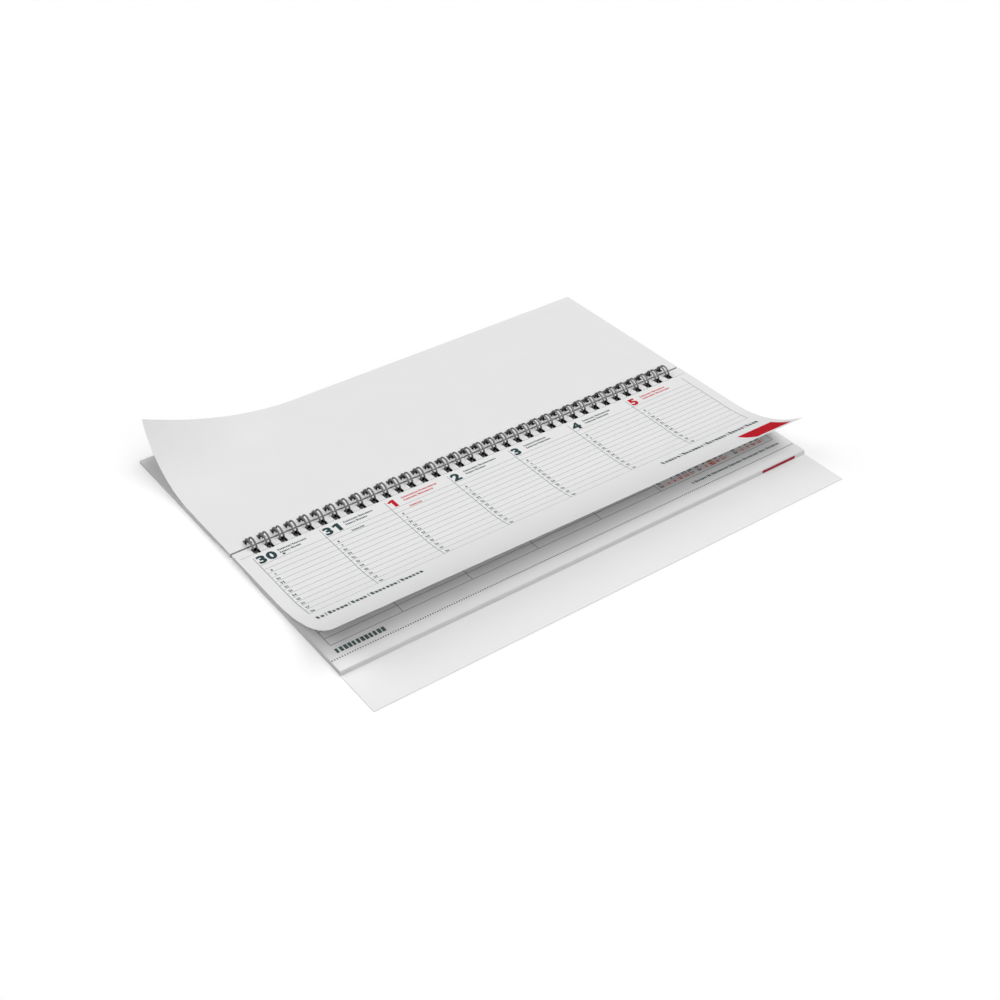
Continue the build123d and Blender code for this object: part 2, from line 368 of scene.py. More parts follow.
class Finish:
    """A material that is being wired. node() adds any node, and sums on its results add Math nodes."""

    def __init__(self, owner):
        owner.use_nodes = True
        self.owner = owner
        self.tree = owner.node_tree
        self.tree.nodes.clear()

    def node(self, kind, settings=(), inputs=(), output=0):
        """Adds a node of a kind, sets its settings, then its inputs' values or links."""
        made = self.tree.nodes.new(kind)
        for key, setting in dict(settings).items():
            setattr(made, key, setting)
        for key, value in dict(inputs).items():
            if isinstance(value, Value):
                self.tree.links.new(value.socket, made.inputs[key])
            else:
                made.inputs[key].default_value = value
        return Value(self, made.outputs[output])

    def place(self):
        """The point of the surface in the part's own frame."""
        return self.node("ShaderNodeTexCoord", output="Object")

    def noise(self, place, scale, detail=3.0):
        """Soft noise from 0 to 1 of so many lumps to the metre."""
        return self.node("ShaderNodeTexNoise", (), {"Vector": place, "Scale": scale, "Detail": detail})

    def mix(self, share, first, second):
        """Colour that goes from the first to the second as share goes from 0 to 1."""
        settings = {"data_type": "RGBA"}
        return self.node("ShaderNodeMix", settings, {0: share, 6: first, 7: second}, output=2)

    def blend(self, first, second, share):
        """Sum of two values, the second by its share and the first by the rest."""
        return first * (1 - share) + second * share

    def bump(self, height, strength, distance):
        """Surface tilt from a height."""
        return self.node(
            "ShaderNodeBump", (), {"Height": height, "Strength": strength, "Distance": distance}
        )

    def end(self, shader, kind="ShaderNodeOutputMaterial"):
        """Ends the tree in a shader."""
        last = self.tree.nodes.new(kind)
        self.tree.links.new(shader.socket, last.inputs["Surface"])
        return self.owner

    def surface(self, inputs):
        """Ends the material in one surface shader with these inputs."""
        return self.end(self.node("ShaderNodeBsdfPrincipled", (), inputs))


def opaque(tint):
    """A setting's colour with full alpha."""
    return (*tint, 1.0)


def toned(tint, strength):
    """A colour made lighter or darker by a strength."""
    return opaque([strength * part for part in tint[:3]])


def material(name, build, *colours):
    """The named material, built once. Its prefix keeps it apart from the frame's own materials."""
    name = f"look_{name}"
    if name not in bpy.data.materials:
        build(Finish(bpy.data.materials.new(name)), *[opaque(tint) for tint in colours])
    return bpy.data.materials[name]


def paper_finish(finish, light, shade):
    """Uncoated paper: fine fibres over faint clouds, matte, with a trace of tooth."""
    place = finish.place()
    fibres = finish.noise(place, PAPER_TOOTH, detail=5.0)
    clouds = finish.noise(place, scale=60.0, detail=2.0)
    share = finish.blend(fibres, clouds, share=0.55)
    return finish.surface({
        "Base Color": finish.mix(share, shade, light),
        "Roughness": 0.74 + 0.16 * fibres,
        "Specular IOR Level": PAPER_SHEEN,
        "Normal": finish.bump(fibres, strength=0.12, distance=TOOTH_DEPTH),
    })


def card_finish(finish, light, shade):
    """Calendered card: smoother than paper, with broad clouds and a low sheen."""
    place = finish.place()
    fibres = finish.noise(place, scale=1500.0, detail=4.0)
    clouds = finish.noise(place, scale=35.0, detail=2.0)
    share = finish.blend(fibres, clouds, share=0.65)
    return finish.surface({
        "Base Color": finish.mix(share, shade, light),
        "Roughness": 0.5 + 0.14 * fibres,
        "Specular IOR Level": 2 * PAPER_SHEEN,
        "Normal": finish.bump(fibres, strength=0.08, distance=TOOTH_DEPTH),
    })


def stack_finish(finish, light, shade):
    """Leaf edges: paper whose tone changes a little from leaf to leaf up the block."""
    place = finish.place()
    per_metre = (30.0, 30.0, 9000.0)
    layers = finish.node("ShaderNodeMapping", (), {"Vector": place, "Scale": per_metre})
    edges = finish.noise(layers, scale=1.0, detail=1.0)
    fibres = finish.noise(place, PAPER_TOOTH, detail=4.0)
    share = finish.blend(edges, fibres, share=0.4)
    return finish.surface({
        "Base Color": finish.mix(share, shade, light),
        "Roughness": 0.78 + 0.14 * fibres,
        "Specular IOR Level": PAPER_SHEEN,
        "Normal": finish.bump(fibres, strength=0.15, distance=TOOTH_DEPTH),
    })


def hole_finish(finish, tint):
    """Inside of the punched holes: painted shade as a dark colour, with the cut fibres just showing."""
    fibres = finish.noise(finish.place(), scale=1800.0)
    return finish.surface({
        "Base Color": finish.mix(fibres, tint, toned(tint, 1.8)),
        "Roughness": 0.8 + 0.1 * fibres,
        "Specular IOR Level": PAPER_SHEEN,
    })


def ink_finish(finish, tint):
    """Printed ink: thinner over the paper's tooth, a little smoother than the paper."""
    tooth = finish.noise(finish.place(), PAPER_TOOTH, detail=4.0)
    thin = opaque([part + INK_THINNING * (PAPER_TONE - part) for part in tint[:3]])
    return finish.surface({
        "Base Color": finish.mix(tooth, tint, thin),
        "Roughness": 0.5 + 0.2 * tooth,
        "Specular IOR Level": 0.0,
    })


def steel_finish(finish, tint):
    """Drawn wire: fine streaks along its length in tone and roughness, read from its own map."""
    chart = finish.node("ShaderNodeTexCoord", output="UV")
    along_and_round = (60.0, 9.0, 1.0)
    drawn = finish.node("ShaderNodeMapping", (), {"Vector": chart, "Scale": along_and_round})
    streaks = finish.noise(drawn, scale=1.0)
    specks = finish.noise(finish.place(), scale=900.0, detail=2.0)
    return finish.surface({
        "Base Color": finish.mix(streaks, toned(tint, 0.72), tint),
        "Metallic": 1.0,
        "Roughness": 0.22 + 0.14 * streaks + 0.08 * specks,
        "Normal": finish.bump(streaks, strength=0.1, distance=0.03 * MM),
    })


# Meshes


def make_piece(context, name, points, faces, body, coating, finishes=None):
    """A mesh piece from an array of points and arrays of faces, welded, smooth but for sharp edges."""
    used, order = np.unique(np.concatenate([part.ravel() for part in faces]), return_inverse=True)
    lists = []
    start = 0
    for part in faces:
        lists += order[start:start + part.size].reshape(part.shape).tolist()
        start += part.size
    mesh = bpy.data.meshes.new(name)
    mesh.from_pydata(points.reshape(-1, 3)[used].tolist(), [], lists)
    for finish in coating:
        mesh.materials.append(finish)
    if finishes is not None:
        mesh.polygons.foreach_set("material_index", finishes)
    mesh.shade_smooth()
    mesh.set_sharp_from_angle(angle=CREASE)
    if mesh.validate(verbose=True):
        raise RuntimeError(f"{name} has faces that don't hold")
    piece = bpy.data.objects.new(name, mesh)
    context.collection.objects.link(piece)
    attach(piece, body)
    return piece


def hole_centres(leaves):
    """Middles of the holes along the wire, evenly spaced about the middle of the leaf."""
    return (np.arange(leaves.hole_count) - (leaves.hole_count - 1) / 2) * leaves.hole_pitch


def punched_grid(leaves, inner, outer):
    """A leaf's flat grid of x and y, and which of its cells are paper.

    Grid lines run along the hole edges, and cells inside a hole are left out.
    The points at a hole's corners slide towards its middle, so that the corner
    is cut as a chord of its rounding.
    """
    centres = hole_centres(leaves)
    half = leaves.hole_width / 2
    straight = half - leaves.hole_rounding
    offsets = np.array([-leaves.hole_pitch / 2, -half, -straight, straight, half])
    x = (centres[:, None] + offsets).ravel()
    x = np.concatenate([[LEFT], x, [x[-1] - half + leaves.hole_pitch / 2, RIGHT]])
    hole_length = leaves.hole_length + (leaves.week_hole_wear if outer < inner else 0)
    hole_start = leaves.hole_margin
    hole_end = hole_start + hole_length
    rounding = leaves.hole_rounding
    depth = abs(outer - inner)
    rows = np.linspace(hole_end, depth, 1 + round((depth - hole_end) / leaves.row_step))
    away = np.concatenate([[0, hole_start, hole_start + rounding, hole_end - rounding], rows])
    y = np.sort(inner + np.sign(outer - inner) * away)
    grid_x, grid_y = np.meshgrid(x, y, indexing="ij")

    hole_y = inner + np.sign(outer - inner) * (hole_start + hole_length / 2)
    nearest = centres[np.abs(grid_x[..., None] - centres).argmin(-1)]
    on_side = np.isclose(np.abs(grid_x - nearest), half, atol=NEAR)
    on_end = np.isclose(np.abs(grid_y - hole_y), hole_length / 2, atol=NEAR)
    slide = (on_side & on_end) * rounding * (1 - sqrt(0.5))
    grid_x = grid_x - slide * np.sign(grid_x - nearest)
    grid_y = grid_y - slide * np.sign(grid_y - hole_y)

    middle_x = (x[1:] + x[:-1]) / 2
    middle_y = (y[1:] + y[:-1]) / 2
    in_x = np.abs(middle_x[:, None] - centres).min(1) < half
    in_y = np.abs(middle_y - hole_y) < hole_length / 2
    return grid_x, grid_y, ~(in_x[:, None] & in_y)


def cell_faces(index, keep):
    """Upward quads of the kept cells of a grid of point numbers."""
    quads = np.stack([index[:-1, :-1], index[1:, :-1], index[1:, 1:], index[:-1, 1:]], -1)
    return quads[keep]


def rim_faces(top, bottom, keep, around):
    """Upright quads where a kept cell has no neighbour; around puts them along the border too."""
    padded = np.pad(keep, 1, constant_values=not around)
    size_x, size_y = keep.shape
    sides = [((1, 0), (1, 0), (1, 1)), ((-1, 0), (0, 1), (0, 0)),
             ((0, 1), (1, 1), (0, 1)), ((0, -1), (0, 0), (1, 0))]
    quads = []
    for (step_x, step_y), first, second in sides:
        from_x, from_y = 1 + step_x, 1 + step_y
        beside = padded[from_x:from_x + size_x, from_y:from_y + size_y]
        i, j = np.nonzero(keep & ~beside)
        a = (i + first[0], j + first[1])
        b = (i + second[0], j + second[1])
        quads.append(np.stack([bottom[a], bottom[b], top[b], top[a]], -1))
    return np.concatenate(quads)


def rolled(x, y, height, origin, away, radius, underside):
    """Points of a sheet that rolls up past a bend line.

    A point that lies a run past the line, along the flat direction away, goes
    round a circle of the radius: the run becomes the angle run / radius. Height
    is measured from the sheet's underside towards the circle's middle.
    """
    run = np.maximum((x - origin[0]) * away[0] + (y - origin[1]) * away[1], 0)
    turn = run / radius
    shift = (radius - height) * np.sin(turn) - run
    z = underside + radius - (radius - height) * np.cos(turn)
    return np.stack([x + away[0] * shift, y + away[1] * shift, z], -1)


def week_curl(curls, x, y, height):
    """The current week's sheet: rolls up towards the front about a line that slants a little."""
    skew = (curls.week_start_right - curls.week_start_left) / (RIGHT - LEFT)
    start = (curls.week_start_left + curls.week_start_right) / 2
    away = np.array([-skew, -1.0]) / sqrt(1 + skew * skew)
    origin = ((LEFT + RIGHT) / 2, WEEK_INNER - start)
    return rolled(x, y, height, origin, away, curls.week_radius, WEEK_UNDERSIDE)


def corner_curl(curls, x, y, height):
    """The last turned sheet: its back left corner rolls up about a slanting line.

    The corner is also drawn outwards and upwards, by the square of a point's
    share of the run from the bend line to the corner.
    """
    away = np.array([-cos(curls.corner_angle), sin(curls.corner_angle)])
    origin = (LEFT, TURNED_OUTER) - away * curls.corner_run
    points = rolled(x, y, height, origin, away, curls.corner_radius, TURNED_UNDERSIDE)
    run = np.maximum((x - origin[0]) * away[0] + (y - origin[1]) * away[1], 0)
    drawn = np.array([*(away * curls.corner_reach), curls.corner_lift])
    return points + (run / curls.corner_run)[..., None] ** 2 * drawn


def curled_sheet(context, name, inner, outer, curl, body):
    """A punched sheet of even thickness, rolled up by its curl."""
    settings = context.scene.calendar
    x, y, keep = punched_grid(settings.leaves, inner, outer)
    bottom = curl(settings.curls, x, y, 0.0)
    top = curl(settings.curls, x, y, settings.leaves.sheet_thickness)
    index = np.arange(x.size).reshape(x.shape)
    upper = index + x.size
    faces = [
        cell_faces(index, keep)[:, ::-1],
        cell_faces(upper, keep),
        rim_faces(upper, index, keep, True),
    ]
    finish = settings.finish
    paper = material("page_paper", paper_finish, finish.paper, finish.paper_shade)
    points = np.stack([bottom, top])
    sheet = make_piece(context, f"{name}_paper", points, faces, body, [paper])
    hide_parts(name)
    press(sheet)
    return sheet


def press(piece):
    """Gives the piece a mesh of its own."""
    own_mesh(piece)


def underside_rise(leaves, away):
    """Height of a block's underside: level beside the wire, then down to 0 by two equal arcs."""
    half = leaves.fall_run / 2
    radius = (half * half + (leaves.spine_lift / 2) ** 2) / leaves.spine_lift
    run = np.clip(away - leaves.level_end, 0, leaves.fall_run)
    first = radius - np.sqrt(radius ** 2 - np.minimum(run, half) ** 2)
    last = radius - np.sqrt(radius ** 2 - np.minimum(leaves.fall_run - run, half) ** 2)
    return np.where(run < half, leaves.spine_lift - first, last)


def border_of(index):
    """Point numbers round a grid's border, anticlockwise seen from above."""
    return np.concatenate([index[:-1, 0], index[-1, :-1], index[:0:-1, -1], index[0, :0:-1]])


def block_top(y, inner, outer, high, outer_high):
    """Height of a block's upper face: falls evenly from its inner edge to its outer edge."""
    return high + (outer_high - high) * (y - inner) / (outer - inner)


def leaf_edges(leaves, feet, heads, inner, outer, count, seed):
    """Points of a block's wall between its feet and its heads, level by level.

    Up the wall, grooves alternate with leaf edges, and each leaf is shifted as a
    whole by its own small scatter. At the outer edge the leaves stand back by
    the wear times the cube of their share of the height.
    """
    shares = np.arange(1, 2 * count) / (2 * count)
    grooves = np.arange(2 * count - 1) % 2
    scatter = np.random.default_rng(seed).normal(0, leaves.leaf_scatter, (count, 2))
    limit = SCATTER_LIMIT * leaves.leaf_scatter
    shift = np.zeros((2 * count - 1, 2))
    shift[::2] = np.clip(scatter, -limit, limit)
    wall = feet + (heads - feet) * shares[:, None, None]
    wall[..., 1] += (shares ** 3 - shares)[:, None] * (heads - feet)[:, 1]
    front, back = sorted((inner, outer))
    outward_x = (feet[:, 0] >= RIGHT - NEAR) * 1.0 - (feet[:, 0] <= LEFT + NEAR) * 1.0
    outward_y = (feet[:, 1] >= back - NEAR) * 1.0 - (feet[:, 1] <= front + NEAR) * 1.0
    depth = grooves[:, None] * leaves.leaf_groove
    wall[..., 0] += shift[:, :1] - depth * outward_x
    wall[..., 1] += shift[:, 1:] - depth * outward_y
    return wall


def block_coating(finish, body):
    """Finishes of a block: page, leaf edges, holes with painted shade, a lighter painted shade if turned,
    and spine edges with painted shade.
    """
    # hole walls: painted shade, near black on the desk side and mid-grey on the turned side
    holes = {DESK: ("punched_holes", finish.hole_shade), TURNED: ("lit_holes", finish.lit_hole_shade)}
    hole_name, hole_tint = holes[body]
    return [
        material("page_paper", paper_finish, finish.paper, finish.paper_shade),
        material("leaf_edges", stack_finish, finish.leaf_edge, finish.leaf_edge_shade),
        material(hole_name, hole_finish, hole_tint),
        material("spine_edges", stack_finish, finish.spine_edge, finish.spine_edge_shade),
    ]


def leaf_block(context, name, inner, outer, heights, body, seed):
    """A block of leaves: falls outwards, shaped to its cover below, with a ridge for each leaf's edge.

    Heights are of its flat underside, and of its upper face at the inner and at
    the outer edge. A wall of leaf edges runs round the border.
    """
    settings = context.scene.calendar
    leaves = settings.leaves
    low, high, outer_high = heights
    x, y, keep = punched_grid(leaves, inner, outer)
    floor = low + underside_rise(leaves, np.abs(y - WIRE_Y))
    worn = np.isclose(y, outer, atol=NEAR) * leaves.edge_wear * np.sign(inner - outer)
    bottom = np.stack([x, y, floor], -1)
    top = np.stack([x, y + worn, block_top(y, inner, outer, high, outer_high)], -1)
    index = np.arange(x.size).reshape(x.shape)
    upper = index + x.size

    border = border_of(index)
    feet = bottom.reshape(-1, 3)[border]
    heads = top.reshape(-1, 3)[border]
    count = round((outer_high - low) / leaves.leaf_thickness)
    wall = leaf_edges(leaves, feet, heads, inner, outer, count, seed)
    wall_index = 2 * x.size + np.arange(wall[..., 0].size).reshape(wall.shape[:2])
    levels = np.vstack([border, wall_index, border + x.size])
    beside = np.roll(levels, -1, axis=1)
    wall_faces = np.stack([levels[:-1], beside[:-1], beside[1:], levels[1:]], -1)
    # faces along the wire, which take the spine edges' painted shade
    at_spine = np.isclose(feet[:, 1], inner, atol=NEAR)
    spine = np.tile(at_spine & np.roll(at_spine, -1), (len(levels) - 1, 1))

    faces = [
        cell_faces(index, keep)[:, ::-1],
        cell_faces(upper, keep),
        wall_faces[~spine],
        wall_faces[spine],
        rim_faces(upper, index, keep, False),
    ]
    page, edge, hole, spine_edge = range(4)
    kinds = [page, page, edge, spine_edge, hole]
    finishes = np.repeat(kinds, [len(part) for part in faces]).astype(np.int32)
    points = np.concatenate([bottom.reshape(-1, 3), top.reshape(-1, 3), wall.reshape(-1, 3)])
    coating = block_coating(settings.finish, body)
    block = make_piece(context, f"{name}_leaves", points, faces, body, coating, finishes)
    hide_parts(name)
    return block


# Wire


def ring_profile(wire):
    """Once round a ring from its seam: a circle whose foot is pressed flat.

    The height under the foot is lifted by a soft maximum. Gives the length run
    round the ring, and there the place across and up, and the outward direction.
    """
    turn = np.linspace(-pi / 2, 3 * pi / 2, RING_POINTS)
    across = wire.loop_radius * np.cos(turn)
    round_up = WIRE_Z + wire.loop_radius * np.sin(turn)
    softness = wire.foot_softness
    up = wire.foot_height + softness * np.logaddexp(0, (round_up - wire.foot_height) / softness)
    steps = np.hypot(np.diff(across), np.diff(up))
    run = np.concatenate([[0], np.cumsum(steps)])
    along = np.stack([np.gradient(across, run), np.gradient(up, run)])
    outward = np.stack([along[1], -along[0]]) / np.linalg.norm(along, axis=0)
    return run, np.stack([across, up]), outward


def arc(centre_x, centre_run, radius, first, last, count):
    """Points on a flat arc, between two angles in degrees."""
    turn = np.radians(np.linspace(first, last, count))
    return np.stack([centre_x + radius * np.cos(turn), centre_run + radius * np.sin(turn)], -1)


def comb_line(wire, leaves, ring_length):
    """The wire's line before it is rolled: a flat comb of round-ended prongs joined by short links."""
    half = wire.twin_spacing / 2
    bend = wire.link_bend
    link = wire.seam_offset
    foot = link + bend
    head = ring_length - wire.seam_offset - half
    climb = np.linspace(foot, head, wire.strand_points)[1:-1]
    strand = np.stack([np.full_like(climb, half), climb], -1)
    turn_in = arc(-half - bend, foot, bend, -90, 0, count=6)
    hairpin = arc(0, head, half, 180, 0, count=11)
    turn_out = arc(half + bend, foot, bend, 180, 270, count=6)
    prong = np.concatenate([turn_in, strand * (-1, 1), hairpin, strand[::-1], turn_out])
    comb = prong + np.stack([hole_centres(leaves), np.zeros(leaves.hole_count)], -1)[:, None]
    ends = len(turn_in) - 1
    return comb.reshape(-1, 2)[ends:-ends]


def wire_tube(wire, leaves):
    """The comb rolled round the ring, with a round section carried along it.

    Across the section, one direction is the ring's outward one and the other
    stands square to it and to the wire's line.
    """
    run, ring, outward = ring_profile(wire)
    comb = comb_line(wire, leaves, run[-1])
    across, up = (np.interp(comb[:, 1], run, part) for part in ring)
    line = np.stack([comb[:, 0], WIRE_Y + across, up], -1)
    out_y, out_z = (np.interp(comb[:, 1], run, part) for part in outward)
    out = np.stack([np.zeros_like(out_y), out_y, out_z], -1)
    steps = np.linalg.norm(np.diff(line, axis=0), axis=1)
    travel = np.concatenate([[0], np.cumsum(steps)])
    tangent = np.gradient(line, travel, axis=0)
    tangent /= np.linalg.norm(tangent, axis=1, keepdims=True)
    out -= tangent * (out * tangent).sum(1, keepdims=True)
    out /= np.linalg.norm(out, axis=1, keepdims=True)
    square = np.cross(tangent, out)
    turn = 2 * pi * np.arange(wire.sides) / wire.sides
    section = np.cos(turn)[:, None] * out[:, None] + np.sin(turn)[:, None] * square[:, None]
    points = line[:, None] + wire.diameter / 2 * section
    index = np.arange(len(line) * wire.sides).reshape(len(line), wire.sides)
    beside = np.roll(index, -1, axis=1)
    skin = np.stack([index[:-1], beside[:-1], beside[1:], index[1:]], -1).reshape(-1, 4)
    caps = [index[:1, ::-1], index[-1:]]
    return points, [skin, *caps], travel


def chart_wire(mesh, travel, sides):
    """The wire's own map: length along it, and share of the way round."""
    corners = np.empty(len(mesh.loops), np.int32)
    mesh.loops.foreach_get("vertex_index", corners)
    chart = np.stack([travel[corners // sides], (corners % sides) / sides], -1)
    layer = mesh.uv_layers.new(name="along_wire")
    layer.data.foreach_set("uv", chart.astype(np.float32).ravel())


# Print


def bars(lows, highs, steps_x=2, steps_y=2):
    """Flat rectangles between low and high corners, each cut into a grid of steps."""
    share_x = np.linspace(0, 1, steps_x)
    share_y = np.linspace(0, 1, steps_y)
    lows = np.asarray(lows, float).reshape(-1, 1, 1, 2)
    highs = np.asarray(highs, float).reshape(-1, 1, 1, 2)
    share = np.stack(np.meshgrid(share_x, share_y, indexing="ij"), -1)
    points = lows + (highs - lows) * share
    index = np.arange(points[..., 0].size).reshape(points.shape[:-1])
    quads = np.stack([index[:, :-1, :-1], index[:, 1:, :-1], index[:, 1:, 1:], index[:, :-1, 1:]], -1)
    return points.reshape(-1, 2), quads.reshape(-1, 4)


def dots(centres, radius, corners=8):
    """Flat round dots as polygons of so many corners."""
    turn = 2 * pi * np.arange(corners) / corners
    points = np.asarray(centres, float)[:, None] + radius * np.stack([np.cos(turn), np.sin(turn)], -1)
    return points.reshape(-1, 2), np.arange(points[..., 0].size).reshape(-1, corners)


@lru_cache
def digit(figure, weight, fineness):
    """One figure's filled outline, one unit high, from its left end and baseline."""
    if figure == "1":
        outline = [(0.28, 0), (0.56, 0), (0.56, 1), (0.32, 1), (0, 0.82), (0.1, 0.62), (0.28, 0.72)]
        return np.array(outline), np.arange(len(outline))[None]
    curve = bpy.data.curves.new("figure", "FONT")
    curve.body = figure
    curve.offset = weight
    curve.resolution_u = fineness
    holder = bpy.data.objects.new("figure", curve)
    mesh = bpy.data.meshes.new_from_object(holder)
    mesh.calc_loop_triangles()
    points = np.empty(3 * len(mesh.vertices))
    mesh.vertices.foreach_get("co", points)
    points = points.reshape(-1, 3)[:, :2]
    faces = np.empty(3 * len(mesh.loop_triangles), np.int32)
    mesh.loop_triangles.foreach_get("vertices", faces)
    bpy.data.objects.remove(holder)
    bpy.data.curves.remove(curve)
    bpy.data.meshes.remove(mesh)
    low, high = points.min(0), points.max(0)
    return (points - low) / (high[1] - low[1]), faces.reshape(-1, 3)


def number_at(text, place, height, weight=0.03, fineness=1, align=0.0, stretch=1.0):
    """A number's figures side by side, its baseline at a place; align 1 puts its right end there."""
    spacing = 0.1
    start = 0.0
    parts = []
    for figure in text:
        points, faces = digit(figure, weight, fineness)
        parts.append((points + (start, 0), faces))
        start += points[:, 0].max() + spacing
    shift = align * (start - spacing)
    size = np.array([height * stretch, height])
    return [((points - (shift, 0)) * size + place, faces) for points, faces in parts]


def word_bars(place, words, height, pitch, first_height=1.35):
    """Stand-in for a line of words: one narrow block a letter, the first of a word taller or not.

    Words are counts of letters. A block is 0.6 to 0.8 of the pitch wide, by a
    wave along the line. One letter's room between two words holds a slanting stroke.
    """
    counts = np.asarray(words)
    firsts = np.cumsum(counts + 1) - counts - 1
    slots = np.concatenate([first + np.arange(count) for first, count in zip(firsts, counts)])
    heights = height * np.where(np.isin(slots, firsts), first_height, 1.0)
    left = place[0] + slots * pitch
    letter = pitch * (0.6 + 0.2 * np.abs(np.sin(2.4 * slots)))
    lows = np.stack([left, np.full(len(left), place[1])], -1)
    blocks = bars(lows, np.stack([left + letter, place[1] + heights], -1))
    gaps = place[0] + (firsts[1:] - 1) * pitch
    stroke = np.array([(0.1, -0.2), (0.32, -0.2), (0.6, 1.4), (0.38, 1.4)]) * (pitch, height)
    strokes = np.stack([gaps, np.full(len(gaps), place[1])], -1)[:, None] + stroke
    return [blocks, (strokes.reshape(-1, 2), np.arange(4 * len(gaps)).reshape(-1, 4))]


def joined(parts):
    """Several flat shapes as one: all points, and each part's faces numbered on from the last."""
    starts = np.cumsum([0] + [len(points) for points, _ in parts[:-1]])
    return np.concatenate([points for points, _ in parts]), [
        faces + start for (_, faces), start in zip(parts, starts)
    ]


class Page:
    """A printed page: flat shapes are given from its left edge and from the wire, and laid on it."""

    def __init__(self, context, name, lay, tilt, body):
        self.context = context
        self.name = name
        self.lay = lay
        self.tilt = tilt
        self.body = body

    def at(self, right, down):
        """Flat place of a point so far from the left edge and from the leaf's inner edge."""
        return np.stack(np.broadcast_arrays(LEFT + right, WEEK_INNER - down), -1)

    def put(self, name, tint, parts, layer=1.0):
        """Lays flat shapes on the page as one piece of one ink; a lower layer lies nearer the paper."""
        points, faces = joined(parts)
        x, y = points.T
        laid = self.lay(x, y - self.tilt * (x - LEFT), layer)
        ink = material(f"ink_{name}", ink_finish, tint)
        return make_piece(self.context, f"{self.name}_{name}", laid, faces, self.body, [ink])


def week_columns(week):
    """Places of the dividers, from the left edge: columns that widen by an even share."""
    widths = week.column_width * week.column_growth ** np.arange(len(DATES))
    return week.first_divider + np.concatenate([[0], np.cumsum(widths)])


def week_rows(week):
    """Places of the ruled lines, from the wire: even, then spreading by the square of the count."""
    count = np.arange(week.line_count)
    extra = np.maximum(count - week.spread_after, 0) ** 2
    return week.first_line + week.line_pitch * count + week.line_spread * extra


# Operators


class CALENDAR_OT_covers(bpy.types.Operator):
    """Gives both covers their card finish"""

    bl_idname = "calendar.covers"
    bl_label = "Covers"

    def execute(self, context):
        finish = context.scene.calendar.finish
        card = material("cover_card", card_finish, finish.card, finish.card_shade)
        for name in ("back_cover", "front_cover"):
            slots = frame["nodes"][name].data.materials
            slots.clear()
            slots.append(card)
        return {"FINISHED"}


class CALENDAR_OT_blocks(bpy.types.Operator):
    """Builds both blocks of leaves with their edges"""

    bl_idname = "calendar.blocks"
    bl_label = "Blocks of leaves"

    def execute(self, context):
        leaves = context.scene.calendar.leaves
        heights = (BLOCK_LOW.z, BLOCK_HIGH.z, leaves.week_outer_top)
        leaf_block(context, "week_block", WEEK_INNER, WEEK_OUTER, heights, DESK, seed=11)
        heights = (TURNED_LOW.z, TURNED_HIGH.z, leaves.turned_outer_top)
        leaf_block(context, "turned_block", TURNED_INNER, TURNED_OUTER, heights, TURNED, seed=23)
        return {"FINISHED"}


class CALENDAR_OT_sheets(bpy.types.Operator):
    """Builds the current week's sheet and the last turned sheet"""

    bl_idname = "calendar.sheets"
    bl_label = "Curled sheets"

    def execute(self, context):
        curled_sheet(context, "week_sheet", WEEK_INNER, WEEK_OUTER, week_curl, DESK)
        curled_sheet(
            context, "turned_sheet", TURNED_INNER, TURNED_OUTER, corner_curl, TURNED
        )
        return {"FINISHED"}


class CALENDAR_OT_wire(bpy.types.Operator):
    """Builds the twin-loop wire as one round wire"""

    bl_idname = "calendar.wire"
    bl_label = "Wire"

    def execute(self, context):
        settings = context.scene.calendar
        points, faces, travel = wire_tube(settings.wire, settings.leaves)
        steel = material("binding_wire", steel_finish, settings.finish.steel)
        piece = make_piece(
            context, "twin_loop_wire", points, faces, DESK, [steel]
        )
        chart_wire(piece.data, travel, settings.wire.sides)
        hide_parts("wire_binding")
        return {"FINISHED"}


